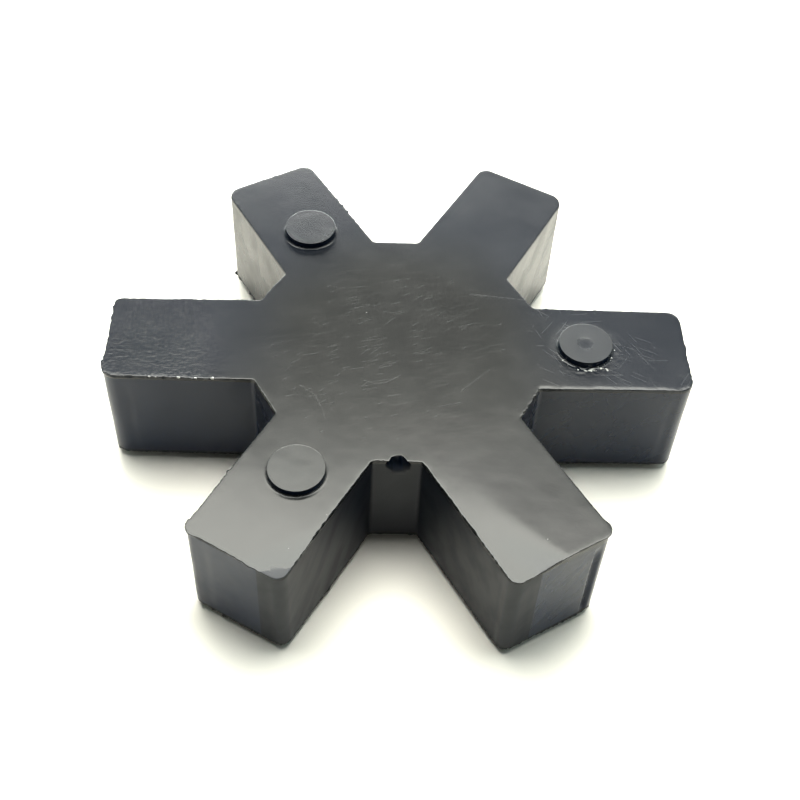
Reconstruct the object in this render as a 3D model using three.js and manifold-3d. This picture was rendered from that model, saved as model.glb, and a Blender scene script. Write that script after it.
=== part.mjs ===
// Spider of a jaw coupling: the rubber star that sits between the jaws of two shaft hubs and
// carries the torque from one to the other. It is one moulding with six legs. Each face has three
// low round spacer buttons, on every second leg, which keep the hubs' faces off the rubber.
//
// Frame: millimetres, +Z along the coupling's axis, +X along the first leg, origin at the centre
// of the moulding. The first leg has its button on the +Z face.

import * as THREE from 'three';
import { mergeVertices } from 'three/addons/utils/BufferGeometryUtils.js';
import Module from 'manifold-3d';

// Driving dimensions.
const LEG_COUNT = 6;
const TIP_DISTANCE = 26.8; // axis to the flat end of a leg
const FLOOR_DISTANCE = 13.7; // axis to the flat floor of the gap between two legs
const LEG_WIDTH_AT_ROOT = 9.95; // measured at ROOT_DISTANCE
const LEG_WIDTH_AT_TIP = 9.71;
const ROOT_DISTANCE = 13.4;
const BODY_THICKNESS = 11.0;
const TIP_CORNER_RADIUS = 1.2;
const FLOOR_FILLET_RADIUS = 0.5;

const BUTTON_DIAMETER = 4.95;
const BUTTON_HEIGHT = 0.65; // above the face it stands on
const BUTTON_DISTANCE = 17.33; // axis to a button's centre
const BUTTON_ROOT_DEPTH = 1.0; // how far its cylinder starts inside the body before joining

const GATE_SCAR_RADIUS = 0.75; // half-round pit where the sprue was torn off
const GATE_SCAR_DEPTH = 1.3; // down from the +Z face
const GATE_SCAR_SIDE = 4; // index of the gap that has it, counted from the one after the first leg

const ARC_STEP = THREE.MathUtils.degToRad(12);
const BUTTON_SIDES = 48;
const SCAR_SIDES = 20;
const MERGE_TOLERANCE = 1e-4;

const RUBBER = { color: 0x1e2022, roughness: 0.55, metalness: 0 };

// Derived values.
const LEG_PITCH = (2 * Math.PI) / LEG_COUNT;
const HALF_THICKNESS = BODY_THICKNESS / 2;
const FLANK_SLOPE = (LEG_WIDTH_AT_ROOT - LEG_WIDTH_AT_TIP) / 2 / (TIP_DISTANCE - ROOT_DISTANCE);

const wasm = await Module();
wasm.setup();

// Half the leg's width at a distance from the axis.
function halfWidthAt(distance) {
  return LEG_WIDTH_AT_TIP / 2 + FLANK_SLOPE * (TIP_DISTANCE - distance);
}

// Distance along a leg at which its flank meets the flat floor of the gap beside it.
function rootCornerDistance() {
  const cosHalf = Math.cos(LEG_PITCH / 2);
  const sinHalf = Math.sin(LEG_PITCH / 2);
  return (FLOOR_DISTANCE - halfWidthAt(0) * sinHalf) / (cosHalf - FLANK_SLOPE * sinHalf);
}

// The sharp corners of the star, counter-clockwise, each with the radius that rounds it.
function starCorners() {
  const root = rootCornerDistance();
  const legCorners = [
    { along: root, across: -halfWidthAt(root), radius: FLOOR_FILLET_RADIUS },
    { along: TIP_DISTANCE, across: -halfWidthAt(TIP_DISTANCE), radius: TIP_CORNER_RADIUS },
    { along: TIP_DISTANCE, across: halfWidthAt(TIP_DISTANCE), radius: TIP_CORNER_RADIUS },
    { along: root, across: halfWidthAt(root), radius: FLOOR_FILLET_RADIUS },
  ];
  const centre = new THREE.Vector2();
  const corners = [];
  for (let leg = 0; leg < LEG_COUNT; leg++) {
    for (const { along, across, radius } of legCorners) {
      const point = new THREE.Vector2(along, across).rotateAround(centre, leg * LEG_PITCH);
      corners.push({ point, radius });
    }
  }
  return corners;
}

// Points of the arc that rounds one corner, from the side it comes from to the side it leaves by.
function cornerArc(before, corner, after, radius) {
  const back = before.clone().sub(corner).normalize();
  const ahead = after.clone().sub(corner).normalize();
  const halfAngle = Math.acos(back.dot(ahead)) / 2;
  const bisector = back.clone().add(ahead).normalize();
  const centre = corner.clone().addScaledVector(bisector, radius / Math.sin(halfAngle));
  const start = corner.clone().addScaledVector(back, radius / Math.tan(halfAngle));
  const turn = Math.sign(ahead.cross(back)) * (Math.PI - 2 * halfAngle);
  const steps = Math.ceil(Math.abs(turn) / ARC_STEP);
  const points = [];
  for (let i = 0; i <= steps; i++) {
    points.push(start.clone().rotateAround(centre, (turn * i) / steps));
  }
  return points;
}

function starShape() {
  const corners = starCorners();
  const points = corners.flatMap(({ point, radius }, i) => {
    const before = corners.at(i - 1).point;
    const after = corners[(i + 1) % corners.length].point;
    return cornerArc(before, point, after, radius);
  });
  return new THREE.Shape(points);
}

// The six-legged body, centred on the mid-plane.
function bodyGeometry() {
  const geometry = new THREE.ExtrudeGeometry(starShape(), {
    depth: BODY_THICKNESS,
    bevelEnabled: false,
  });
  return geometry.translate(0, 0, -HALF_THICKNESS);
}

// An upright cylinder from one height to another, at a distance along a leg or gap direction.
function postGeometry(radius, sides, low, high, distance, angle) {
  const geometry = new THREE.CylinderGeometry(radius, radius, high - low, sides);
  geometry.rotateX(Math.PI / 2);
  return geometry.translate(distance * Math.cos(angle), distance * Math.sin(angle), (low + high) / 2);
}

// Even legs have their button on the +Z face, odd legs on the -Z face.
function buttonGeometry(leg) {
  const inner = HALF_THICKNESS - BUTTON_ROOT_DEPTH;
  const outer = HALF_THICKNESS + BUTTON_HEIGHT;
  const [low, high] = leg % 2 === 0 ? [inner, outer] : [-outer, -inner];
  return postGeometry(BUTTON_DIAMETER / 2, BUTTON_SIDES, low, high, BUTTON_DISTANCE, leg * LEG_PITCH);
}

function gateScarGeometry() {
  const low = HALF_THICKNESS - GATE_SCAR_DEPTH;
  const high = HALF_THICKNESS + GATE_SCAR_DEPTH;
  const angle = (GATE_SCAR_SIDE + 0.5) * LEG_PITCH;
  return postGeometry(GATE_SCAR_RADIUS, SCAR_SIDES, low, high, FLOOR_DISTANCE, angle);
}

// Closed geometry to a solid that can be joined and cut.
function solidOf(geometry) {
  const bare = geometry.clone();
  bare.deleteAttribute('normal');
  bare.deleteAttribute('uv');
  const merged = mergeVertices(bare, MERGE_TOLERANCE);
  const mesh = new wasm.Mesh({
    numProp: 3,
    vertProperties: new Float32Array(merged.attributes.position.array),
    triVerts: new Uint32Array(merged.index.array),
  });
  return new wasm.Manifold(mesh);
}

function geometryOf(solid) {
  const mesh = solid.getMesh();
  const geometry = new THREE.BufferGeometry();
  geometry.setAttribute('position', new THREE.BufferAttribute(mesh.vertProperties, 3));
  geometry.setIndex(new THREE.BufferAttribute(mesh.triVerts, 1));
  geometry.computeVertexNormals();
  return geometry;
}

// The whole moulding: body and buttons joined, then the gate scar cut away.
function spiderGeometry() {
  let solid = solidOf(bodyGeometry());
  for (let leg = 0; leg < LEG_COUNT; leg++) {
    solid = solid.add(solidOf(buttonGeometry(leg)));
  }
  return geometryOf(solid.subtract(solidOf(gateScarGeometry())));
}

const spider = new THREE.Mesh(spiderGeometry(), new THREE.MeshStandardMaterial(RUBBER));
spider.name = 'spider';

const object = new THREE.Group();
object.add(spider);

export default object;
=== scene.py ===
"""Looks of a jaw coupling's spider: one black rubber moulding with six legs and low round spacer
buttons. The mesh adds what a plain solid leaves out: each leg's own small moulding errors, rounded
rims, ragged mould flash, the torn gate mark, and the fins round the buttons' feet. It also carries the
masks for painted light: highlights on the front rims, sheen on the button tops and a blue cast of shade.

Lengths are in millimetres, in the CAD frame, until a mesh, light or camera is made in metres."""

import math
from collections import namedtuple
from types import SimpleNamespace

import bpy
import numpy as np
from mathutils import Matrix, Vector, noise
from mathutils.geometry import delaunay_2d_cdt


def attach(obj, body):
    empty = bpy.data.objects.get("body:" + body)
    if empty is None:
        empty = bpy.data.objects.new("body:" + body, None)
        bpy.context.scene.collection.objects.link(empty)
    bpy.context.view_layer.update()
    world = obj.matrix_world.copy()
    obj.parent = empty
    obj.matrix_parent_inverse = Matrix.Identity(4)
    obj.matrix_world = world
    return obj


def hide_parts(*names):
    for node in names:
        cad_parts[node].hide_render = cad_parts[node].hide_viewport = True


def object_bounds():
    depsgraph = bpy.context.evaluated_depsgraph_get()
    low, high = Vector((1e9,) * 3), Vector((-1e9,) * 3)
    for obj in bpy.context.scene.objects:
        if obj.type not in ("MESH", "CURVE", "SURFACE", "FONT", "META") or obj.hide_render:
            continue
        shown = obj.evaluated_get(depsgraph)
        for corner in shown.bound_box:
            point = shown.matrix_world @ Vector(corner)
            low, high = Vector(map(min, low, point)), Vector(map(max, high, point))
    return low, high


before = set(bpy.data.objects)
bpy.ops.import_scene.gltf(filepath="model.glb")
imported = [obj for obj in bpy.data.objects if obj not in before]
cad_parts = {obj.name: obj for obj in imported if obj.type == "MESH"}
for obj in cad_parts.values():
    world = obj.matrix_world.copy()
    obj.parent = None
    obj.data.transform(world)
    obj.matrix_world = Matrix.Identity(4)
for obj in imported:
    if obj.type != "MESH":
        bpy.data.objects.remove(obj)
cad_low, cad_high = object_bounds()

MM = 0.001
LEGS = range(0, 360, 60)  # a leg is named by its angle from +X, counter-clockwise, in degrees

# ---------------------------------------------------------------- sizes, as the CAD part has them

TIP_DISTANCE = cad_high.x / MM
OVERALL_HALF = cad_high.z / MM
BUTTON_HEIGHT = 0.65
HALF = OVERALL_HALF - BUTTON_HEIGHT  # the body's two faces are at +HALF and -HALF
FLOOR_DISTANCE = 13.7
LEG_WIDTH_AT_TIP = 9.71
FLANK_SLOPE = 0.009  # how much each flank leans in per mm along the leg
BUTTON_RADIUS = 2.475
BUTTON_DISTANCE = 17.33
FLOOR_FILLET = 0.5

# ---------------------------------------------------------------- this moulding's own errors

# How far each edge lies outside its drawn place: leg tip, flank on the counter-clockwise side
# (plus), flank on the clockwise side (minus), gap floor after the leg.
EDGE_ERRORS = {
    0: {"tip": 0.04, "plus": 0.0, "minus": 0.2, "floor": -0.06},
    60: {"tip": -0.17, "plus": 0.09, "minus": -0.23, "floor": 0.02},
    120: {"tip": -0.07, "plus": -0.05, "minus": -0.19, "floor": 0.12},
    180: {"tip": -0.12, "plus": -0.23, "minus": 0.3, "floor": -0.06},
    240: {"tip": 0.1, "plus": -0.16, "minus": 0.08, "floor": -0.05},
    300: {"tip": 0.13, "plus": 0.1, "minus": 0.12, "floor": -0.11},
}
# Radius of the corner between tip and flank, on the minus and on the plus side.
CORNER_RADII = {
    0: (1.2, 1.3),
    60: (1.5, 1.1),
    120: (1.2, 1.4),
    180: (0.7, 1.3),
    240: (1.0, 1.0),
    300: (1.0, 1.2),
}

# ---------------------------------------------------------------- camera

CAMERA_AZIMUTH = math.radians(-2.94)
CAMERA_ELEVATION = math.radians(49.71)
CAMERA_ROLL = math.radians(3.40)
CAMERA_DISTANCE = 4.1457 * TIP_DISTANCE
CAMERA_AIM = (0.13, -6.79, HALF)
CAMERA_LENS = 56.28


def make_camera():
    """The viewpoint: close to the part, looking down at it from the front."""
    ca, sa = math.cos(CAMERA_AZIMUTH), math.sin(CAMERA_AZIMUTH)
    ce, se = math.cos(CAMERA_ELEVATION), math.sin(CAMERA_ELEVATION)
    back = Vector((sa * ce, -ca * ce, se))
    level = Vector((ca, sa, 0.0))
    upright = back.cross(level)
    right = math.cos(CAMERA_ROLL) * level + math.sin(CAMERA_ROLL) * upright
    up = math.cos(CAMERA_ROLL) * upright - math.sin(CAMERA_ROLL) * level
    data = bpy.data.cameras.new("camera")
    data.lens = CAMERA_LENS
    data.sensor_width = 36.0
    data.clip_start = 0.01
    camera = bpy.data.objects.new("camera", data)
    turn = Matrix((right, up, back)).transposed().to_4x4()
    place = Matrix.Translation((Vector(CAMERA_AIM) + CAMERA_DISTANCE * back) * MM)
    camera.matrix_world = place @ turn
    bpy.context.scene.collection.objects.link(camera)
    bpy.context.scene.camera = camera


make_camera()

# ---------------------------------------------------------------- small helpers


def unit(degrees):
    """The unit vector at an angle in the plane."""
    angle = math.radians(degrees)
    return np.array([math.cos(angle), math.sin(angle)])


def smooth(low, high, value):
    """0 below low, 1 above high, and a smooth ramp between them. low may be the larger."""
    t = np.clip((np.asarray(value, float) - low) / (high - low), 0.0, 1.0)
    return t * t * (3.0 - 2.0 * t)


def bell(value, middle, half_width):
    """1 at the middle, falling smoothly to 0 at half_width on either side."""
    return 1.0 - smooth(0.0, half_width, np.abs(np.asarray(value, float) - middle))


def grain(points, scale, seed, octaves=1):
    """Perlin noise at each point, about -1 to 1. scale is the size of its lumps."""
    shift = Vector((seed * 17.3, seed * 5.9, seed * 11.1))
    values = []
    for point in points:
        place = Vector(point) / scale + shift
        value, size = 0.0, 1.0
        for _ in range(octaves):
            value += size * noise.noise(place)
            place = place * 2.1
            size *= 0.5
        values.append(value)
    return np.array(values)


def in_leg(points, leg):
    """Places along and across a leg, for points in the plane."""
    return points @ unit(leg), points @ unit(leg + 90)


# ---------------------------------------------------------------- the star's outline

OUTLINE_STEP = 0.1
FLANK_LEAN = math.degrees(math.atan(FLANK_SLOPE))
FLANK_DISTANCE = (LEG_WIDTH_AT_TIP / 2 + FLANK_SLOPE * TIP_DISTANCE) * math.cos(math.radians(FLANK_LEAN))


# A straight edge: its leg and side, the direction of its outward normal in degrees, its distance from
# the axis, and the signed radius of the corner at its far end.
Edge = namedtuple("Edge", "leg side direction distance corner")


def star_edges():
    """The 24 straight edges, counter-clockwise."""
    edges = []
    for leg in LEGS:
        error = EDGE_ERRORS[leg]
        flank = FLANK_DISTANCE
        minus_radius, plus_radius = CORNER_RADII[leg]
        edges.append(Edge(leg, "minus", leg - 90 + FLANK_LEAN, flank + error["minus"], minus_radius))
        edges.append(Edge(leg, "tip", leg, TIP_DISTANCE + error["tip"], plus_radius))
        edges.append(Edge(leg, "plus", leg + 90 - FLANK_LEAN, flank + error["plus"], -FLOOR_FILLET))
        edges.append(Edge(leg, "floor", leg + 30, FLOOR_DISTANCE + error["floor"], -FLOOR_FILLET))
    return edges


class Outline:
    """Sample points round the star with their outward normals, leg and side."""

    def __init__(self):
        edges = star_edges()
        points, normals, legs, sides = [], [], [], []

        def add(point, normal, leg, side):
            points.append(point)
            normals.append(normal)
            legs.append(leg)
            sides.append(side)

        corners = [self.corner(edges[i - 1], edges[i]) for i in range(len(edges))]
        for i, edge in enumerate(edges):
            centre, radius, start, stop = corners[i]
            steps = max(6, math.ceil(abs(radius * math.radians(stop - start)) / OUTLINE_STEP))
            for k in range(steps):
                normal = unit(start + (stop - start) * k / steps)
                owner = edges[i - 1] if 2 * k < steps else edge
                add(centre + radius * normal, normal, owner.leg, owner.side)
            first = centre + radius * unit(stop)
            next_centre, next_radius, next_start, _ = corners[(i + 1) % len(edges)]
            last = next_centre + next_radius * unit(next_start)
            steps = math.ceil(np.linalg.norm(last - first) / OUTLINE_STEP)
            for k in range(steps):
                add(first + (last - first) * k / steps, unit(edge.direction), edge.leg, edge.side)
        self.points = np.array(points)
        self.normals = np.array(normals)
        self.legs = np.array(legs)
        self.sides = np.array(sides)
        self.along, self.across = self.local()

    @staticmethod
    def corner(before, after):
        """Centre, signed radius and the two normal directions of the arc between two edges."""
        start, stop, radius = before.direction, after.direction, before.corner
        if stop - start < -180:
            stop += 360
        matrix = np.array([unit(start), unit(stop)])
        centre = np.linalg.solve(matrix, np.array([before.distance - radius, after.distance - radius]))
        return centre, radius, start, stop

    def local(self):
        """Places along and across the owning leg. On a floor, across is the place along the floor."""
        along, across = np.zeros(len(self.points)), np.zeros(len(self.points))
        for leg in LEGS:
            own = self.legs == leg
            along[own], across[own] = in_leg(self.points[own], leg)
            floor = own & (self.sides == "floor")
            along[floor], across[floor] = in_leg(self.points[floor], leg + 30)
        return along, across

    def place(self, side_name):
        """The coordinate that runs along an edge of that kind."""
        return self.along if side_name in ("minus", "plus") else self.across

    def on(self, leg, side):
        """Which sample points lie on one edge."""
        return (self.legs == leg) & (self.sides == side)


outline = Outline()

# ---------------------------------------------------------------- flash, rims and the gate mark

# Torn edges: leg, side, from, to (along the edge), how far the tears go in and out.
RAGGED_TOP = [
    (180, "tip", -5.0, 5.0, 0.09),
    (180, "minus", 13.0, 27.0, 0.09),
    (180, "plus", 14.0, 27.0, 0.06),
    (0, "tip", -5.0, 5.0, 0.08),
    (0, "plus", 13.0, 27.0, 0.03),
    (0, "minus", 13.0, 27.0, 0.018),
    (120, "minus", 15.0, 24.0, 0.05),
    (120, "tip", -5.0, 5.0, 0.03),
    (240, "plus", 12.0, 27.0, 0.05),
    (240, "tip", -5.0, 5.0, 0.03),
    (240, "minus", 12.0, 27.0, 0.03),
    (300, "minus", 12.0, 27.0, 0.05),
    (300, "tip", -5.0, 5.0, 0.03),
    (180, "floor", -3.0, 3.0, 0.04),
    (300, "floor", -3.0, 3.0, 0.16),
    (240, "floor", -3.0, 3.0, 0.09),
]
RAGGED_BOTTOM = [
    (180, "tip", -5.0, 5.0, 0.1),
    (180, "plus", 12.0, 27.0, 0.03),
    (0, "minus", 12.0, 27.0, 0.03),
    (0, "tip", -5.0, 5.0, 0.06),
    (120, "plus", 12.0, 27.0, 0.08),
    (120, "tip", -5.0, 5.0, 0.08),
    (240, "tip", -5.0, 5.0, 0.08),
    (240, "plus", 12.0, 27.0, 0.07),
    (300, "tip", -5.0, 5.0, 0.09),
    (300, "minus", 12.0, 27.0, 0.06),
    (240, "floor", -3.0, 3.0, 0.08),
]
# Wider lips and lumps of flash: leg, side, place, half width, how far each stands out.
LUMPS_TOP = [
    (180, "tip", -4.0, 0.3, 0.13),
    (180, "tip", 0.7, 0.3, 0.06),
    (180, "tip", 2.9, 0.35, 0.12),
    (180, "tip", 3.6, 2.2, 0.17),
    (180, "plus", 18.4, 0.4, 0.1),
    (180, "plus", 21.0, 0.3, -0.08),
    (120, "minus", 20.5, 0.35, 0.12),
    (120, "minus", 19.3, 0.25, 0.12),
    (120, "minus", 18.3, 0.25, 0.1),
    (120, "tip", -0.8, 0.3, 0.06),
    (120, "tip", 0.6, 0.3, 0.05),
    (120, "floor", 0.0, 2.4, 0.12),
    (0, "tip", -3.8, 0.4, 0.16),
    (0, "tip", 0.4, 0.6, 0.08),
    (0, "plus", 14.2, 0.3, 0.06),
    (0, "plus", 18.8, 0.3, 0.06),
    (0, "plus", 22.4, 0.3, 0.05),
    (240, "tip", 1.8, 2.6, 0.1),
    (240, "minus", 26.4, 2.0, 0.16),
    (240, "tip", -5.0, 2.0, 0.16),
    (240, "minus", 20.2, 0.3, 0.12),
    (300, "plus", 26.8, 2.0, 0.24),
    (300, "tip", 5.0, 1.8, 0.24),
    (300, "tip", 0.5, 1.4, 0.07),
]
LUMPS_BOTTOM = [
    (120, "plus", 26.0, 0.4, 0.3),
    (120, "plus", 22.5, 0.4, 0.12),
    (240, "tip", -1.6, 0.45, 0.16),
    (240, "plus", 20.0, 0.5, 0.12),
    (240, "floor", 0.0, 3.0, 0.14),
    (300, "tip", 2.5, 2.5, 0.1),
]
EDGE_SET_BACK = 0.03  # how far inside its drawn place an edge without flash lies
EDGE_WAVER = 0.012
TEAR_SIZE = 0.4  # size of the finer tears in an edge
TEAR_FADE = 0.8  # length over which a torn stretch fades out at each end
LIP_DEPTH = 0.1  # how far down a wall the flash fades out, for a lip that stands out by nothing
LIP_SPREAD = 1.1  # and how much further for each mm that it stands out

GATE_LEG = 240  # the gate mark is in the middle of the gap floor after this leg
GATE_HALF_WIDTH = 0.98
GATE_DEPTH = 1.0
GATE_HALF_HEIGHT = 0.72
GATE_CENTRE_DROP = 0.5
GATE_CLEARANCE = (0.9, 1.5)  # the flash ends between these distances from the gate mark's middle

RIM_RADIUS = 0.05
RIM_ROLL = 0.006  # how far a face sinks beside its rim
REAR_SHARPENING = 0.03  # how much smaller the radius is on the rims that face the rear
BEAD_SIZE = 0.03  # the thicker, lumpy rim along the front of leg 0


def flash_reach(rows, lumps, seed):
    """How far the edge stands out at each outline point, or in where it is negative."""
    points = np.column_stack([outline.points, np.zeros(len(outline.points))])
    fine = grain(points, TEAR_SIZE, seed, octaves=3)
    coarse = grain(points, 5 * TEAR_SIZE, seed + 1)
    teeth = grain(points, 0.4 * TEAR_SIZE, seed + 2)
    tears = 0.8 * fine + 0.8 * coarse + 0.7 * teeth
    reach = -EDGE_SET_BACK + EDGE_WAVER * fine
    for leg, side, low, high, size in rows:
        place = outline.place(side)
        inside = outline.on(leg, side) & (place >= low) & (place <= high)
        fade = np.minimum(smooth(low, low + TEAR_FADE, place), smooth(high, high - TEAR_FADE, place))
        reach = reach + np.where(inside, size * fade * tears, 0.0)
    for leg, side, middle, half_width, size in lumps:
        lump = size * bell(outline.place(side), middle, half_width) * (1.0 + 0.3 * fine)
        reach = reach + np.where(outline.on(leg, side), lump, 0.0)
    beside_gate = reach * smooth(*GATE_CLEARANCE, np.abs(outline.across))
    return np.where(outline.on(GATE_LEG, "floor"), beside_gate, reach)


def lip(reach, drop):
    """What is left of the flash at a depth below its rim."""
    depth = LIP_DEPTH + LIP_SPREAD * np.abs(reach)
    return reach * smooth(1.0, 0.0, drop / depth)


def rim_shape(seed):
    """Radius of the rounded rim at each outline point, and how far the face rolls off beside it."""
    points = np.column_stack([outline.points, np.zeros(len(outline.points))])
    lumps = grain(points, 1.2, seed, octaves=3)
    rear = smooth(0.2, 0.7, outline.normals[:, 1])
    bead = np.where(outline.on(0, "minus"), BEAD_SIZE + BEAD_SIZE * lumps, 0.0)
    radius = RIM_RADIUS + 0.02 * lumps - REAR_SHARPENING * rear + bead
    roll = (RIM_ROLL + 0.01 * lumps) * (1.0 - rear) + bead
    return np.clip(radius, 0.015, 0.16), np.clip(roll, 0.0, 0.1)


def gate_bite(drop):
    """How deep the torn gate mark cuts into the wall at each outline point, at a depth below the
    +Z face."""
    own = outline.on(GATE_LEG, "floor")
    points = np.column_stack([outline.points, drop + np.zeros(len(outline.points))])
    torn = 1.0 + 0.3 * grain(points, 0.45, 31, octaves=3)
    across = outline.across / (GATE_HALF_WIDTH * torn)
    down = (drop - GATE_CENTRE_DROP) / GATE_HALF_HEIGHT
    bowl = np.clip(1.0 - across**2 - down**2, 0.0, 1.0) ** 0.5
    return np.where(own, GATE_DEPTH * torn * bowl, 0.0)


# ---------------------------------------------------------------- height of the two faces


def face_height(points, seed):
    """Small swells and dents of a face, at points in the plane."""
    flat = np.column_stack([points, np.zeros(len(points))])
    return 0.012 * grain(flat, 5.0, seed) + 0.004 * grain(flat, 1.2, seed + 1)


# How far a leg has sunk 10 mm beyond the start of its sag, as a share of those 10 mm. A negative sag
# is a lift.
SAGS = {240: 0.028, 300: 0.026, 60: -0.009, 120: 0.005}
SAG_START = 17.0  # distance from the axis
FOLD_LEG = 300  # this leg sags on one side of a fold, and lifts on the other
FOLD_SLOPE = 0.022
FOLD_LIP = 0.008
FOLD_BLEND = 1.8
LIFT = 0.014
LIFT_START = 13.0


def fold_line(along):
    """Where across its leg the fold lies, at a distance from the axis."""
    return -3.6 + 0.14 * (along - 16.0) + 0.035 * np.clip(along - 22.0, 0.0, None) ** 2


def fold_height(points):
    """A long shallow fold on the +Z face of one front leg, where the rubber lapped as it cooled."""
    along, across = in_leg(points, FOLD_LEG)
    beside = fold_line(along) - across
    fold = FOLD_SLOPE * np.clip(beside, 0.0, None) + FOLD_LIP * bell(beside, 0.0, 0.8)
    return -smooth(14.0, 19.0, along) * fold


def bend_height(along, start, amount):
    """A bend that starts at a distance from the axis and has risen by amount * 10 mm after 10 mm."""
    return amount * np.clip(along - start, 0.0, None) ** 2 / 10.0


def droop_height(points):
    """How far the legs sag or lift towards their tips."""
    height = np.zeros(len(points))
    for leg, sag in SAGS.items():
        along, across = in_leg(points, leg)
        bend = bend_height(along, SAG_START, -sag)
        if leg == FOLD_LEG:
            beyond = smooth(-FOLD_BLEND, FOLD_BLEND, across - fold_line(along))
            bend = bend + (bend_height(along, LIFT_START, LIFT) - bend) * beyond
        own = (np.abs(across) < 8.0) & (along > LIFT_START)
        height = np.where(own, bend, height)
    return height


def front_height(points):
    """How far the +Z face lies above its nominal plane."""
    return face_height(points, 3) + fold_height(points) + droop_height(points)


def back_height(points):
    """The same for the -Z face, outwards."""
    return face_height(points, 9)


# ---------------------------------------------------------------- mesh assembly


class Builder:
    """Vertices and faces of one mesh, in millimetres."""

    def __init__(self):
        self.vertices = []
        self.faces = []
        self.count = 0

    def add(self, points):
        """Adds points and returns their indices."""
        self.vertices.append(np.asarray(points, float))
        first = self.count
        self.count += len(points)
        return np.arange(first, self.count)

    def strip(self, upper, lower):
        """Quads between two closed loops of equal length. The outside is on the right of upper."""
        for i in range(len(upper)):
            j = (i + 1) % len(upper)
            self.faces.append((upper[i], lower[i], lower[j], upper[j]))

    def to_mesh(self, name):
        mesh = bpy.data.meshes.new(name)
        vertices = np.vstack(self.vertices) * MM
        mesh.from_pydata(vertices.tolist(), [], [tuple(int(i) for i in f) for f in self.faces])
        mesh.update()
        mesh.shade_smooth()
        return mesh


builder = Builder()

# ---------------------------------------------------------------- walls and rims

RING_INSETS = (0.5, 0.4, 0.31, 0.23, 0.17)
RIM_ANGLES = (0.0, 22.5, 45.0, 67.5, 90.0)
BITE_TAPER = 0.45  # how much of the gate mark's depth is lost at the face's inner ring
PAINTED_RIM_HIGHLIGHT_ROWS = (0.2, 0.6, 1.0, 1.0, 0.9, 0.8, 0.5, 0.2)  # painted highlight on the upper rim, from the first rim angle on, down the wall
# Grooves that run down the walls: leg, side, place, half width, depth.
GROOVES = [
    (300, "tip", 3.5, 0.5, 0.35),
    (300, "tip", -3.3, 0.7, 0.04),
    (300, "minus", 25.5, 0.5, 0.04),
    (240, "tip", 3.2, 0.9, 0.05),
    (240, "tip", -2.9, 0.8, 0.03),
    (0, "minus", 25.2, 0.6, 0.03),
    (180, "plus", 24.6, 0.7, 0.03),
]
# Depths below the rims at which a wall has a loop, for its upper half. The lower half mirrors them.
WALL_DROPS = (0.04, 0.09, 0.15, 0.22, 0.3, 0.4, 0.55, 0.75, 1.0, 1.35, 1.8, 2.3, 2.9, 3.6, 4.5)


def wall_swell(drop):
    """Soft unevenness of the walls at a depth below the +Z face."""
    points = np.column_stack([outline.points, drop])
    return 0.02 * grain(points, 4.0, 41) + 0.005 * grain(points, 1.0, 42)


def groove_depth(drop):
    """Depth of the grooves at each outline point. They fade out towards the rim above."""
    depth = np.zeros(len(outline.points))
    for leg, side, place, half_width, size in GROOVES:
        groove = size * bell(outline.place(side), place, half_width)
        depth = depth + np.where(outline.on(leg, side), groove, 0.0)
    return depth * smooth(0.4, 3.0, drop)


def rim_rows(sign, reach, shape, bite_at, height):
    """Loops from the face's inner ring over the rim, for the +Z (sign 1) or -Z face (sign -1)."""
    radius, roll = shape
    edge_bite = bite_at(0.0)
    width = RING_INSETS[0]
    rows = []
    for inset in RING_INSETS:
        keep = 1.0 - inset / width
        pull = inset - keep * reach + edge_bite * (1.0 - BITE_TAPER * inset / width)
        rows.append((pull, roll * keep**2))
    for angle in RIM_ANGLES:
        drop = radius * (1.0 - math.cos(math.radians(angle)))
        inset = radius * (1.0 - math.sin(math.radians(angle)))
        rows.append((inset - reach + edge_bite, roll * (1.0 - inset / width) ** 2 + drop))
    loops = []
    for pull, drop in rows:
        flat = outline.points - outline.normals * pull[:, None]
        z = sign * (HALF + height(flat) - drop)
        loops.append(np.column_stack([flat, z]))
    return loops


def wall_rows(reach_top, shape_top, reach_bottom, shape_bottom):
    """Loops down the walls, from just below one rim to just above the other."""
    start = shape_top[0] + shape_top[1] - front_height(outline.points)
    stop = 2 * HALF + back_height(outline.points) - shape_bottom[0] - shape_bottom[1]
    shares = [d / HALF / 2 for d in WALL_DROPS]
    loops = []
    for share in shares + [0.5] + [1.0 - t for t in reversed(shares)]:
        drop = start + (stop - start) * share
        edges = lip(reach_top, drop - start) + lip(reach_bottom, stop - drop)
        ends = smooth(0.1, 1.0, drop) * smooth(0.1, 1.0, 2 * HALF - drop)
        out = edges + (wall_swell(drop) - groove_depth(drop)) * ends - gate_bite(drop)
        flat = outline.points + outline.normals * out[:, None]
        loops.append(np.column_stack([flat, HALF - drop]))
    return loops


def no_bite(drop):
    """The -Z face has no gate mark."""
    return np.zeros(len(outline.points))


def build_walls():
    """Adds all loops. Returns the inner loop of each face, and how strong the painted rim highlight is at
    each vertex. Only the upper rim gets it, and not where it faces the rear."""
    reach_top = flash_reach(RAGGED_TOP, LUMPS_TOP, 51)
    reach_bottom = flash_reach(RAGGED_BOTTOM, LUMPS_BOTTOM, 61)
    shape_top, shape_bottom = rim_shape(71), rim_shape(81)
    loops = rim_rows(1, reach_top, shape_top, gate_bite, front_height)
    loops += wall_rows(reach_top, shape_top, reach_bottom, shape_bottom)
    loops += reversed(rim_rows(-1, reach_bottom, shape_bottom, no_bite, back_height))
    indices = [builder.add(loop) for loop in loops]
    for upper, lower in zip(indices, indices[1:]):
        builder.strip(upper, lower)
    # Painted highlight: the upper rim's rows are lightened in the material, except where they face the rear.
    painted_rim_highlight = np.zeros(builder.count)
    not_rear = smooth(0.7, 0.2, outline.normals[:, 1])
    for row, share in enumerate(PAINTED_RIM_HIGHLIGHT_ROWS):
        painted_rim_highlight[indices[len(RING_INSETS) + row]] = share * not_rear
    return (indices[0], loops[0]), (indices[-1], loops[-1]), painted_rim_highlight


# ---------------------------------------------------------------- buttons

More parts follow.
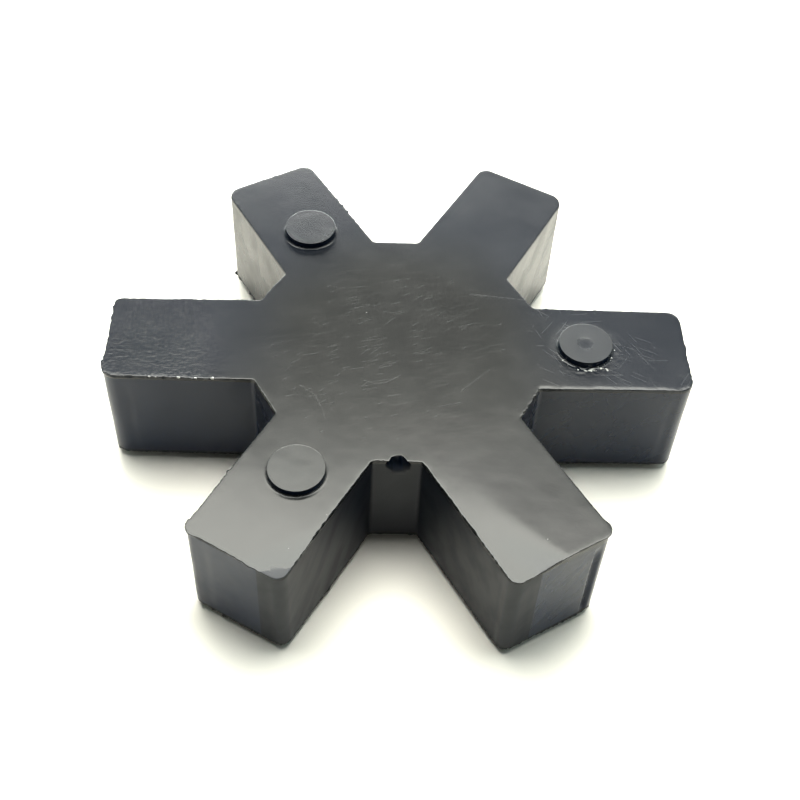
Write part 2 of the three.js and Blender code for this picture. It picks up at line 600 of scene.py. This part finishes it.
PATCH_RADIUS = 4.0
PATCH_SIDES = 180
FIN_RADIUS = 2.57
FIN_HALF_WIDTH = 0.05
EDGE_ROUND = 0.035
CAP_RINGS = (2.33, 2.2, 2.0, 1.8, 1.6, 1.4, 1.2, 1.05, 0.95, 0.85, 0.75, 0.6, 0.4, 0.2)

# A button: the leg and face that it is on, fin height, how ragged the fin is, depth and radius of
# the dimple, and how rough the rubber round its foot is.
Button = namedtuple("Button", "leg sign fin ragged dimple dimple_radius rough")
BUTTONS = [
    Button(0, 1, 0.06, 1.0, 0.025, 1.0, 0.012),
    Button(120, 1, 0.03, 0.4, 0.0, 0.5, 0.003),
    Button(240, 1, 0.015, 0.3, 0.0, 0.5, 0.0),
    Button(60, -1, 0.1, 0.5, 0.0, 0.5, 0.02),
    Button(180, -1, 0.12, 0.2, 0.06, 0.9, 0.01),
    Button(300, -1, 0.08, 0.7, 0.0, 0.5, 0.03),
]


def button_centre(leg):
    return BUTTON_DISTANCE * unit(leg)


def patch_rows():
    """Radius and height above the face for each ring of a button's patch, from its rim inwards."""
    outer = [(r, 0.0) for r in np.arange(PATCH_RADIUS - 0.12, FIN_RADIUS + 0.2, -0.1)]
    fin = [(FIN_RADIUS + k * FIN_HALF_WIDTH / 2, 0.0) for k in (2, 1.4, 0.7, 0, -0.7, -1.4)]
    foot = [(BUTTON_RADIUS + 0.04, 0.0), (BUTTON_RADIUS, 0.03)]
    wall = [(BUTTON_RADIUS, z) for z in (0.12, 0.24, 0.36, 0.48, BUTTON_HEIGHT - EDGE_ROUND)]
    edge = []
    for angle in (30, 60, 90):
        inset = EDGE_ROUND * (1 - math.cos(math.radians(angle)))
        drop = EDGE_ROUND * (1 - math.sin(math.radians(angle)))
        edge.append((BUTTON_RADIUS - inset, BUTTON_HEIGHT - drop))
    cap = [(r, BUTTON_HEIGHT) for r in (BUTTON_RADIUS - 1.3 * EDGE_ROUND, *CAP_RINGS)]
    return outer + fin + foot + wall + edge + cap


def circle(centre, radius):
    """Points round a circle in the plane."""
    angles = np.arange(PATCH_SIDES) * 2 * math.pi / PATCH_SIDES
    return centre + radius * np.column_stack([np.cos(angles), np.sin(angles)])


def button_loop(centre, sign, height):
    """The rim of a button's patch."""
    flat = circle(centre, PATCH_RADIUS)
    return np.column_stack([flat, sign * (HALF + height(flat))])


def patch_ring(button, radius, rise, height):
    """The points of one ring of a button's patch, with the fin, the rough ground or the dimple."""
    centre = button_centre(button.leg)
    flat = circle(centre, radius)
    points = np.column_stack([flat, np.full(len(flat), rise)])
    z = rise + height(flat)
    if radius > BUTTON_RADIUS + 0.05:
        torn = np.clip(1.0 + button.ragged * 1.6 * grain(points, 0.35, button.leg + 5, octaves=2), 0.0, 2.2)
        front = smooth(0.6, -0.2, (flat - centre)[:, 1] / radius) if button.sign > 0 else 1.0
        ground = smooth(PATCH_RADIUS, PATCH_RADIUS - 0.7, radius)
        z = z + button.fin * front * torn * bell(radius, FIN_RADIUS, FIN_HALF_WIDTH * 1.2)
        z = z + button.rough * ground * grain(points, 0.22, button.leg + 7, octaves=2)
    if rise == BUTTON_HEIGHT:
        z = z - button.dimple * smooth(button.dimple_radius, button.dimple_radius * 0.5, radius)
        z = z + 0.006 * grain(points, 1.0, button.leg + 9)
    return np.column_stack([flat, button.sign * (HALF + z)])


def build_button(button, rim, height):
    """Fills a patch's rim loop with the button and the ground round its foot."""
    upwards = button.sign > 0
    loops = [rim]
    for radius, rise in patch_rows():
        loops.append(builder.add(patch_ring(button, radius, rise, height)))
    for outer, inner in zip(loops, loops[1:]):
        if upwards:
            builder.strip(inner, outer)
        else:
            builder.strip(outer, inner)
    top = BUTTON_HEIGHT - button.dimple
    middle = builder.add([[*button_centre(button.leg), button.sign * (HALF + top)]])[0]
    last = loops[-1]
    for i in range(PATCH_SIDES):
        j = (i + 1) % PATCH_SIDES
        triangle = (middle, last[i], last[j])
        builder.faces.append(triangle if upwards else triangle[::-1])


# ---------------------------------------------------------------- the two faces

FACE_STEP = 0.35
FACE_CLEARANCE = 0.2


def face_points(loop, holes):
    """Staggered inner points of a face, clear of its outline and of the button patches."""
    reach = TIP_DISTANCE + 1.0
    rows = np.arange(-reach, reach, FACE_STEP * math.sqrt(3) / 2)
    points = []
    for k, y in enumerate(rows):
        xs = np.arange(-reach, reach, FACE_STEP) + (k % 2) * FACE_STEP / 2
        points.append(np.column_stack([xs, np.full(len(xs), y)]))
    points = np.vstack(points)
    for centre in holes:
        points = points[np.linalg.norm(points - centre, axis=1) > PATCH_RADIUS + FACE_CLEARANCE]
    keep = np.zeros(len(points), bool)
    for leg in LEGS:
        along, across = in_leg(points, leg)
        keep |= (along > -1.0) & (along < TIP_DISTANCE) & (np.abs(across) < LEG_WIDTH_AT_TIP / 2)
    keep |= np.linalg.norm(points, axis=1) < FLOOR_DISTANCE
    points = points[keep]
    return points[distance_inside(points, loop) > FACE_CLEARANCE]


def distance_inside(points, loop):
    """Distance from each point to a counter-clockwise loop, positive inside it."""
    following = np.roll(loop, -1, axis=0)
    tangent = following - loop
    outward = np.column_stack([tangent[:, 1], -tangent[:, 0]])
    outward /= np.linalg.norm(outward, axis=1)[:, None]
    result = np.zeros(len(points))
    for first in range(0, len(points), 1000):
        block = points[first : first + 1000]
        gaps = np.linalg.norm(block[:, None, :] - loop[None, :, :], axis=2)
        nearest = gaps.argmin(axis=1)
        side = np.einsum("ij,ij->i", block - loop[nearest], outward[nearest])
        result[first : first + 1000] = np.where(side < 0, 1.0, -1.0) * gaps.min(axis=1)
    return result


def fill(loops, free, sign):
    """Triangles that fill the first loop round the others, through the free points. Their corners
    are counted through the loops, then through the free points."""
    regions, start = [], 0
    for loop in loops:
        regions.append(list(range(start, start + len(loop))))
        start += len(loop)
    vectors = [Vector(point) for point in np.vstack([*loops, free]).tolist()]
    _, _, triangles, origin, _, owners = delaunay_2d_cdt(vectors, [], regions, 1, 1e-7, True)
    filled = []
    for triangle, owner in zip(triangles, owners):
        if list(owner) != [0]:  # inside one of the other loops
            continue
        corners = [origin[i][0] for i in triangle]
        a, b, c = (vectors[i] for i in corners)
        inwards = (b - a).cross(c - a) * sign < 0
        filled.append(corners[::-1] if inwards else corners)
    return filled


def build_face(sign, inner, height):
    """Fills the face between the walls' inner ring and the button patches, then the buttons."""
    ring_indices, ring = inner
    buttons = [button for button in BUTTONS if button.sign == sign]
    centres = [button_centre(button.leg) for button in buttons]
    patch_loops = [button_loop(centre, sign, height) for centre in centres]
    patch_indices = [builder.add(loop) for loop in patch_loops]
    free = face_points(ring[:, :2], centres)
    free_indices = builder.add(np.column_stack([free, sign * (HALF + height(free))]))
    indices = np.concatenate([ring_indices, *patch_indices, free_indices])
    for corners in fill([loop[:, :2] for loop in (ring, *patch_loops)], free, sign):
        builder.faces.append(tuple(indices[i] for i in corners))
    for button, rim in zip(buttons, patch_indices):
        build_button(button, rim, height)


front_inner, back_inner, painted_rim_highlight = build_walls()
build_face(1, front_inner, front_height)
build_face(-1, back_inner, back_height)

spider = bpy.data.objects.new("rubber_spider", builder.to_mesh("rubber_spider"))
bpy.context.scene.collection.objects.link(spider)

# ---------------------------------------------------------------- material


class Nodes:
    """Short ways to make the shader nodes that the rubber needs. Values are sockets or numbers."""

    def __init__(self, tree):
        self.tree = tree

    def make(self, kind, inputs=(), **settings):
        """A node of a kind, with its inputs and its own settings."""
        node = self.tree.nodes.new(kind)
        for name, value in settings.items():
            setattr(node, name, value)
        for key, value in dict(inputs).items():
            if isinstance(value, bpy.types.NodeSocket):
                self.tree.links.new(value, node.inputs[key])
            else:
                node.inputs[key].default_value = value
        return node

    def math(self, operation, first, second=0.0, third=0.0):
        inputs = {0: first, 1: second, 2: third}
        return self.make("ShaderNodeMath", inputs, operation=operation).outputs[0]

    def add(self, *values):
        """The sum of the values."""
        total = values[0]
        for value in values[1:]:
            total = self.math("ADD", total, value)
        return total

    def times(self, *values):
        """The product of the values."""
        product = values[0]
        for value in values[1:]:
            product = self.math("MULTIPLY", product, value)
        return product

    def scaled(self, vector, scale):
        inputs = {0: vector, 1: (scale, scale, scale)}
        return self.make("ShaderNodeVectorMath", inputs, operation="MULTIPLY").outputs["Vector"]

    def parts(self, vector):
        """The X, Y and Z of a vector, or the channels of a colour."""
        return self.make("ShaderNodeSeparateXYZ", {0: vector}).outputs

    def ramp(self, value, low, high):
        """A smooth ramp from 0 to 1 while the value goes from low to high. low may be the larger."""
        inputs = {"Value": value, "From Min": low, "From Max": high}
        return self.make("ShaderNodeMapRange", inputs, interpolation_type="SMOOTHSTEP").outputs[0]

    def noise(self, place, size, detail=2.0, roughness=0.5):
        """Noise about 0.5, in lumps of the given size in mm."""
        inputs = {"Vector": place, "Scale": 1.0 / size, "Detail": detail, "Roughness": roughness}
        return self.make("ShaderNodeTexNoise", inputs).outputs["Fac"]

    def blend(self, factor, first, second):
        """Mixes two colours."""
        node = self.make("ShaderNodeMix", {"Factor": factor}, data_type="RGBA")
        for socket, value in ((node.inputs[6], first), (node.inputs[7], second)):
            if isinstance(value, bpy.types.NodeSocket):
                self.tree.links.new(value, socket)
            else:
                socket.default_value = (*value, 1.0)
        return node.outputs[2]

    def mask(self, name):
        """One of the masks that add_masks keeps in the mesh."""
        return self.make("ShaderNodeAttribute", attribute_name=name).outputs["Fac"]


def turned(n, x, y, direction, scale, shift):
    """The coordinate along a direction in the plane, divided by scale and moved by shift."""
    part = n.math("MULTIPLY_ADD", y, direction[1] / scale, shift)
    return n.math("MULTIPLY_ADD", x, direction[0] / scale, part)


def strokes(n, x, y, wobble, degrees, length, spacing, width, share):
    """Short scratches near one direction: one in a share of the cells of a grid."""
    ahead, aside = unit(degrees).tolist(), unit(degrees + 90).tolist()
    u = turned(n, x, y, ahead, length, degrees)
    v = turned(n, x, y, aside, spacing, n.times(wobble, 1.0 / spacing))
    cell = n.make("ShaderNodeCombineXYZ", {"X": n.math("FLOOR", u), "Y": n.math("FLOOR", v)}).outputs[0]
    chance = n.make("ShaderNodeTexWhiteNoise", {"Vector": cell}, noise_dimensions="2D")
    height, lean, cut = n.parts(chance.outputs["Color"])
    u, v = n.math("FRACT", u), n.math("FRACT", v)
    tilt = n.times(n.add(lean, -0.5), n.add(u, -0.5), 0.6)
    gap = n.math("SUBTRACT", v, n.math("MULTIPLY_ADD", height, 0.5, n.add(tilt, 0.25)))
    line = n.ramp(n.math("ABSOLUTE", gap), width / spacing, 0.2 * width / spacing)
    start = n.times(cut, 0.5)
    ends = n.times(n.ramp(u, start, n.add(start, 0.15)), n.ramp(u, n.add(start, 0.5), n.add(start, 0.3)))
    strength = n.ramp(chance.outputs["Value"], share, 0.0)
    return n.times(line, ends, strength)


def long_scratch(n, x, y, points):
    """A scratch through the given points, in mm."""
    width = LONG_SCRATCH_WIDTH
    marks = []
    for start, stop in zip(points, points[1:]):
        step = np.subtract(stop, start)
        length = float(np.linalg.norm(step))
        ahead = (step / length).tolist()
        aside = [-ahead[1], ahead[0]]
        along = turned(n, x, y, ahead, length, -float(np.dot(start, ahead)) / length)
        across = turned(n, x, y, aside, 1.0, -float(np.dot(start, aside)))
        ends = n.math("COMPARE", along, 0.5, 0.5)
        marks.append(n.times(n.ramp(n.math("ABSOLUTE", across), width, 0.2 * width), ends))
    return n.add(*marks)


# Directions of the short scratches: degrees above X, cell length, spacing, width, share of cells.
HUB_STROKES = [
    (20.0, 4.3, 0.21, 0.055, 0.7),
    (13.0, 6.1, 0.37, 0.05, 0.7),
    (31.0, 3.4, 0.29, 0.05, 0.6),
    (-3.0, 4.7, 0.73, 0.05, 0.5),
    (44.0, 3.9, 0.61, 0.05, 0.5),
]
CROSS_STROKES = [
    (-28.0, 5.7, 0.4, 0.05, 0.7),
    (58.0, 6.6, 0.5, 0.05, 0.7),
    (-64.0, 6.1, 0.5, 0.05, 0.6),
    (5.0, 7.3, 0.5, 0.05, 0.7),
    (-41.0, 4.9, 0.6, 0.05, 0.6),
]
LONG_SCRATCHES = [
    [(6.9, 6.7), (11.2, 6.2), (14.1, 5.7)],
    [(-8.8, -5.3), (-7.4, -6.4), (-6.7, -8.1), (-6.4, -9.3)],
    [(-9.6, -5.9), (-8.8, -5.3), (-7.6, -5.8)],
    [(-3.4, -4.4), (-2.2, -4.9), (-1.2, -4.8), (0.2, -3.9)],
    [(5.6, -5.6), (8.4, -2.9)],
    [(20.2, 2.3), (23.6, -2.6)],
]
LONG_SCRATCH_WIDTH = 0.11
LONG_SCRATCH_STRENGTH = 0.8

STREAK_SLANT = 0.5  # how far the streaks on the walls lean for each mm of height
STREAK_STRETCH = 0.4
DUST_CELL = 1.5
DUST_SHARE = 0.08  # of the cells, how many have a speck

BASE_ROUGHNESS = 0.19
MOST_ROUGHNESS = 0.9
# A painted blue cast: this bluer black stands in for the blue of shade and dim reflections.
SHADE_BLUE_BLACK = (0.0004, 0.009, 0.033)
PLAIN_BLACK = (0.0065, 0.0075, 0.0075)
# The grey that wear lightens towards, and the painted sheen and painted rim highlights as well.
WEAR_AND_HIGHLIGHT_GREY = (0.05, 0.052, 0.052)
DUST_WHITE = (0.5, 0.5, 0.48)


def face_scratches(n, x, y, place, face):
    """All the scratches on the two faces."""
    hub = n.mask("hub")
    wobble = n.times(n.noise(place, 9.0, 1.0), 1.2)
    crossed = n.mask("crossed")
    marks = [n.times(strokes(n, x, y, wobble, *row), hub) for row in HUB_STROKES]
    marks += [n.times(strokes(n, x, y, wobble, *row), crossed) for row in CROSS_STROKES]
    for points in LONG_SCRATCHES:
        marks.append(n.times(long_scratch(n, x, y, points), LONG_SCRATCH_STRENGTH))
    return n.math("MINIMUM", n.times(n.add(*marks), face), 1.0)


def wall_streaks(n, x, y, z):
    """Slanting streaks that the mould left on the walls."""
    u = n.math("MULTIPLY_ADD", z, -STREAK_SLANT, x)
    v = n.math("MULTIPLY_ADD", z, -STREAK_SLANT, y)
    w = n.times(z, STREAK_STRETCH)
    slanted = n.make("ShaderNodeCombineXYZ", {"X": u, "Y": v, "Z": w}).outputs[0]
    return n.noise(slanted, 2.2, 2.0)


def dust_specks(n, place, face):
    """Specks of dust on the two faces."""
    cells = n.make("ShaderNodeTexVoronoi", {"Vector": place, "Scale": 1.0 / DUST_CELL}, feature="F1")
    lucky = n.math("LESS_THAN", n.parts(cells.outputs["Color"])[0], DUST_SHARE)
    return n.times(n.ramp(cells.outputs["Distance"], 0.045, 0.02), lucky, face)


def rubber_wear(n):
    """The kinds of grain and wear, and the painted sheen of the button tops, from which the rubber's colour,
    roughness and bumps are mixed.
    """
    coordinates = n.make("ShaderNodeTexCoord")
    place = n.scaled(coordinates.outputs["Object"], 1 / MM)
    x, y, z = n.parts(place)
    upright = n.math("ABSOLUTE", n.parts(coordinates.outputs["Normal"])[2])
    wear = SimpleNamespace()
    wear.face = n.ramp(upright, 0.6, 0.9)  # 1 on the two faces, 0 on the walls
    wear.wall = n.math("SUBTRACT", 1.0, wear.face)
    wear.scratches = face_scratches(n, x, y, place, wear.face)
    wear.streaks = wall_streaks(n, x, y, z)
    wear.smudges = n.times(n.ramp(wear.streaks, 0.35, 0.75), wear.wall)
    wear.fine = n.noise(place, 0.13, 2.0, 0.6)
    wear.medium = n.noise(place, 0.55, 2.0)
    wear.broad = n.noise(place, 3.2, 2.0)
    wear.mottle = n.noise(place, 0.24, 2.0, 0.7)
    wear.granular = n.mask("granular")
    wear.flakes = n.ramp(n.add(n.noise(place, 0.38, 2.0), n.times(n.mask("flakes"), 0.25)), 0.85, 0.89)
    wear.dust = dust_specks(n, place, wear.face)
    # The cap mask is painted light: sheen on the button tops, shade in a dimple, a highlight ring.
    wear.cap = n.mask("cap")
    wear.grains = n.noise(place, 0.4, 2.0, 0.6)
    return wear


def rubber_colour(n, wear):
    """The black, lightened by wear, by painted sheen on the button tops and painted rim highlights, with a
    painted blue cast.
    """
    # Painted blue cast of shade and dim reflections, mixed in by its mask.
    black = n.blend(n.mask("painted_blue_cast"), PLAIN_BLACK, SHADE_BLUE_BLACK)
    tone = n.times(wear.scratches, 0.05)
    # The cap term is painted sheen on the button tops.
    tone = n.add(tone, n.times(wear.granular, n.ramp(wear.grains, 0.5, 0.62), 0.11), n.times(wear.cap, 0.17))
    tone = n.add(tone, n.times(wear.smudges, 0.06), n.times(n.ramp(wear.mottle, 0.4, 0.7), wear.face, 0.05))
    # Painted highlight on the upper rims that do not face the rear.
    tone = n.add(tone, n.times(n.mask("painted_rim_highlight"), 0.5))
    worn_and_highlit = n.blend(n.math("MINIMUM", tone, 1.0), black, WEAR_AND_HIGHLIGHT_GREY)
    return n.blend(n.math("MAXIMUM", n.times(wear.dust, 0.5), wear.flakes), worn_and_highlit, DUST_WHITE)


def rubber_roughness(n, wear):
    """The sheen of the moulding, made rougher by each kind of wear."""
    roughness = n.add(BASE_ROUGHNESS, n.times(wear.broad, 0.04), n.times(wear.scratches, 0.05))
    roughness = n.add(roughness, n.times(wear.mottle, wear.face, 0.04), n.times(wear.cap, 0.06))
    roughness = n.add(roughness, n.times(wear.smudges, 0.1), n.times(wear.flakes, 0.3))
    roughness = n.add(roughness, n.times(n.mask("dull"), 0.3))
    return n.math("MINIMUM", roughness, MOST_ROUGHNESS)


def rubber_bumps(n, wear):
    """How far each kind of grain or wear stands out, in mm."""
    height = n.add(n.times(wear.fine, 0.0008), n.times(wear.medium, 0.003), n.times(wear.broad, 0.008))
    height = n.add(height, n.times(wear.grains, wear.granular, 0.03))
    height = n.add(height, n.times(wear.scratches, -0.001), n.times(wear.streaks, wear.wall, 0.0015))
    return n.add(height, n.times(wear.flakes, 0.05))


def rubber_material():
    """Black moulded rubber: a soft semi-gloss with a fine grain, handling scratches on the faces,
    streaks from the mould on the walls, crumbs of flash and dust, and painted light: sheen on the button
    tops, highlights on the front rims and a blue cast of shade."""
    material = bpy.data.materials.new("black_rubber")
    material.use_nodes = True
    n = Nodes(material.node_tree)
    shader = material.node_tree.nodes["Principled BSDF"]
    shader.inputs["IOR"].default_value = 1.5
    wear = rubber_wear(n)
    material.node_tree.links.new(rubber_colour(n, wear), shader.inputs["Base Color"])
    material.node_tree.links.new(rubber_roughness(n, wear), shader.inputs["Roughness"])
    bump = n.make("ShaderNodeBump", {"Height": rubber_bumps(n, wear), "Strength": 1.0, "Distance": MM})
    material.node_tree.links.new(bump.outputs[0], shader.inputs["Normal"])
    return material


def round_front_gap(flat):
    """Which points are round the gap between the two front legs."""
    return (np.abs(flat[:, 0]) < 11.5) & (flat[:, 1] < -FLOOR_DISTANCE + 0.5)


def wall_facing(count):
    """1 where a wall faces the front. Only true for the vertices of the walls, which come first, loop
    after loop. The masks leave all others out by their height."""
    return smooth(-0.2, -0.8, np.resize(outline.normals[:, 1], count))


def on_walls(height):
    """Which points are on the walls, well away from both faces."""
    return np.abs(height) < HALF - 0.4


def on_button_walls(flat, height):
    """Which points are on the side of a button."""
    from_buttons = [np.linalg.norm(flat - button_centre(leg), axis=1) for leg in LEGS]
    raised = (np.abs(height) > HALF + 0.1) & (np.abs(height) < HALF + 0.6)
    return raised & (np.min(from_buttons, axis=0) < BUTTON_RADIUS + 0.02)


def hub_mask(points, patches):
    """Scratches on the centre of both faces, in patches."""
    radius = np.linalg.norm(points[:, :2], axis=1)
    return 0.9 * np.clip(smooth(17.0, 7.0, radius) + 0.4 * patches, 0.0, 1.0)


def crossed_mask(points, patches):
    """Crossing scratches on leg 0, but not on its button."""
    along, across = in_leg(points[:, :2], 0)
    crossed = smooth(10.0, 15.0, along) * smooth(8.0, 5.0, np.abs(across))
    crossed = crossed * (1.0 + patches) * (np.abs(points[:, 2]) < HALF + 0.5)
    return 1.2 * np.clip(crossed, 0.0, 1.0)


def granular_mask(points, patches):
    """Coarse grain on the outer part of leg 180 and along two of its rims."""
    along, across = in_leg(points[:, :2], 180)
    outer = smooth(13.0, 19.0, along + 2.0 * patches) * smooth(9.0, 0.0, across + 2.0 * patches)
    rim = smooth(14.0, 20.0, along) * np.maximum(smooth(3.6, 4.7, across), smooth(25.3, 26.5, along))
    return np.clip((outer + rim) * (np.abs(points[:, 2]) > HALF - 0.3), 0.0, 1.0)


def painted_blue_cast_mask(points, patches):
    """Where the black is a bluer one, as a painted blue cast of shade and dim reflections: the sides of the
    buttons, the walls that face the front, and a little on the faces, away from the centre and the front."""
    flat, height = points[:, :2], points[:, 2]
    radius = np.linalg.norm(flat, axis=1)
    front = smooth(2.0, -7.0, flat[:, 1] + 0.5 * np.abs(flat[:, 0]) - 5.0)
    painted_blue_cast = smooth(8.0, 18.0, radius + patches) * (1.0 - 0.85 * front)
    walls = 0.2 + 0.8 * smooth(6.0, 2.0, flat[:, 1]) * wall_facing(len(points))
    walls = np.where(round_front_gap(flat), 0.3, walls)
    raised = np.where(on_button_walls(flat, height), 1.0, 0.34 * np.clip(painted_blue_cast, 0.0, 1.0))
    return np.where(on_walls(height), walls, raised)


def painted_cap_sheen_mask(points):
    """Painted sheen on the tops of the buttons, one with a dimple of painted shade and one smoother, and a
    painted highlight ring behind the first one."""
    flat, height = points[:, :2], points[:, 2]
    offset = flat - button_centre(0)
    radius = np.linalg.norm(offset, axis=1)
    dimple_shade = bell(radius, 0.0, 1.1)
    smoother = np.where(np.linalg.norm(flat - button_centre(120), axis=1) < 3.0, 0.45, 0.0)
    ring = 0.45 * bell(radius, 3.0, 0.6) * smooth(-2.0, 1.0, offset[:, 1])
    cap = (np.abs(height) > HALF + 0.45) * (1.0 - 0.9 * dimple_shade - smoother)
    return cap + ring * (height > 0)


def dull_mask(points):
    """Where the rubber is rougher: the lowest edge of the walls, which is torn, the walls round the
    front gap, and a little on the other walls that face the front."""
    flat, height = points[:, :2], points[:, 2]
    torn = smooth(0.5, 0.25, height + HALF) * (height > -HALF + 0.02)
    other = wall_facing(len(points)) * np.where(flat[:, 0] < 0.0, 0.3, 0.12)
    return np.maximum(torn, np.where(round_front_gap(flat), 0.65, other) * on_walls(height))


# Single crumbs on the front rim of leg 180: place along it and radius.
CRUMBS = ((24.6, 0.11), (22.3, 0.14), (21.7, 0.1), (19.7, 0.17), (18.1, 0.1), (16.7, 0.19))
CRUMB_ACROSS = 4.69


def flake_mask(points):
    """Crumbs of torn flash round the foot of the button on the first leg, and on one rim."""
    offset = points[:, :2] - button_centre(0)
    radius = np.linalg.norm(offset, axis=1)
    angle = np.degrees(np.arctan2(offset[:, 1], offset[:, 0]))
    ring = 0.8 * bell(radius, 2.75, 0.42) * smooth(45.0, 10.0, angle) * smooth(-230.0, -170.0, angle)
    ring = np.maximum(ring, bell(radius, 2.75, 0.42) * smooth(160.0, 175.0, angle))
    spray = 0.45 * bell(radius, 3.0, 0.9) * bell(angle, -55.0, 60.0)
    above = (points[:, 2] > HALF - 0.2) & (points[:, 2] < HALF + 0.3)
    strength = np.where(above, np.clip(1.25 * ring + 2.0 * spray, 0.0, 1.2), 0.0)
    for along, size in CRUMBS:
        crumb = np.array([*(along * unit(180) + CRUMB_ACROSS * unit(270)), HALF])
        strength = np.where(np.linalg.norm(points - crumb, axis=1) < size, 2.5, strength)
    return strength


def add_masks(mesh, painted_rim_highlight):
    """Keeps in the mesh how strong each kind of wear, tone and painted light is at each vertex, for the
    material.
    """
    points = np.vstack(builder.vertices)
    patches = grain(points, 6.0, 91)
    masks = {
        "hub": hub_mask(points, patches),
        "crossed": crossed_mask(points, patches),
        "granular": granular_mask(points, patches),
        "painted_blue_cast": painted_blue_cast_mask(points, patches),
        "cap": painted_cap_sheen_mask(points),
        "flakes": flake_mask(points),
        "dull": dull_mask(points),
        "painted_rim_highlight": np.pad(painted_rim_highlight, (0, len(points) - len(painted_rim_highlight))),
    }
    for name, values in masks.items():
        layer = mesh.attributes.new(name, "FLOAT", "POINT")
        layer.data.foreach_set("value", np.asarray(values, np.float32))


add_masks(spider.data, painted_rim_highlight)
spider.data.materials.append(rubber_material())
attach(spider, "root")
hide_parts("spider")

# ---------------------------------------------------------------- floor and light

FLOOR_HALF_SIZE = 1.5
TABLE_WHITE = (0.9, 0.87, 0.81)


def make_floor():
    """The pale table that the part lies on."""
    mesh = bpy.data.meshes.new("floor")
    s, z = FLOOR_HALF_SIZE, cad_low.z
    mesh.from_pydata([(-s, -s, z), (s, -s, z), (s, s, z), (-s, s, z)], [], [(0, 1, 2, 3)])
    floor = bpy.data.objects.new("floor", mesh)
    bpy.context.scene.collection.objects.link(floor)
    material = bpy.data.materials.new("white_table")
    material.use_nodes = True
    shader = material.node_tree.nodes["Principled BSDF"]
    shader.inputs["Base Color"].default_value = (*TABLE_WHITE, 1.0)
    shader.inputs["Roughness"].default_value = 0.6
    mesh.materials.append(material)


# Soft panels of the studio, in metres: centre, direction that it faces, size, radiance.
PANELS = {
    "rear": ((0.0, 1.0, 0.325), (0, -1, 0), (0.8, 0.65), (22.0, 22.2, 21.0)),
    "rear_left": ((-1.2, 1.0, 0.325), (0, -1, 0), (1.6, 0.65), (1.2, 1.6, 1.4)),
    "rear_right": ((1.2, 1.0, 0.325), (0, -1, 0), (1.6, 0.65), (1.4, 1.4, 1.1)),
    "top_front": ((0.0, 0.527, 0.9), (0, 0, -1), (0.8, 0.254), (11.8, 11.7, 10.8)),
    "top_middle": ((0.0, 0.28, 0.9), (0, 0, -1), (0.8, 0.236), (11.0, 11.2, 10.4)),
    "top_zenith": ((0.0, 0.065, 0.9), (0, 0, -1), (0.8, 0.19), (12.4, 12.5, 12.0)),
    "side_right": ((0.75, 0.1, 0.6), (-0.78, 0, -0.62), (1.0, 0.5), (1.1, 1.4, 1.4)),
    "side_left": ((-0.75, 0.1, 0.6), (0.78, 0, -0.62), (1.0, 0.5), (0.3, 0.35, 0.35)),
    "front": ((0.0, -1.0, 0.45), (0, 0.91, -0.41), (1.3, 0.5), (0.45, 0.45, 0.42)),
}
ROOM_RADIANCE = (0.055, 0.06, 0.055)


def panel_light(name, centre, facing, size, radiance):
    """A rectangular lamp whose surface has the same radiance all over."""
    peak = max(radiance)
    data = bpy.data.lights.new(name, "AREA")
    data.shape = "RECTANGLE"
    data.size, data.size_y = size
    data.energy = peak * math.pi * size[0] * size[1]
    data.color = [value / peak for value in radiance]
    light = bpy.data.objects.new(name, data)
    light.location = centre
    light.rotation_euler = Vector(facing).to_track_quat("-Z", "Y").to_euler()
    bpy.context.scene.collection.objects.link(light)


def make_light():
    """The studio's lamps, and the dim room round them."""
    for name, (centre, facing, size, radiance) in PANELS.items():
        panel_light(name, centre, facing, size, radiance)
    world = bpy.data.worlds.new("room")
    world.use_nodes = True
    background = world.node_tree.nodes["Background"]
    background.inputs["Color"].default_value = (*ROOM_RADIANCE, 1.0)
    background.inputs["Strength"].default_value = 1.0
    bpy.context.scene.world = world


make_floor()
make_light()

scene = bpy.context.scene
scene.view_settings.view_transform = "Standard"
scene.view_settings.gamma = 0.85
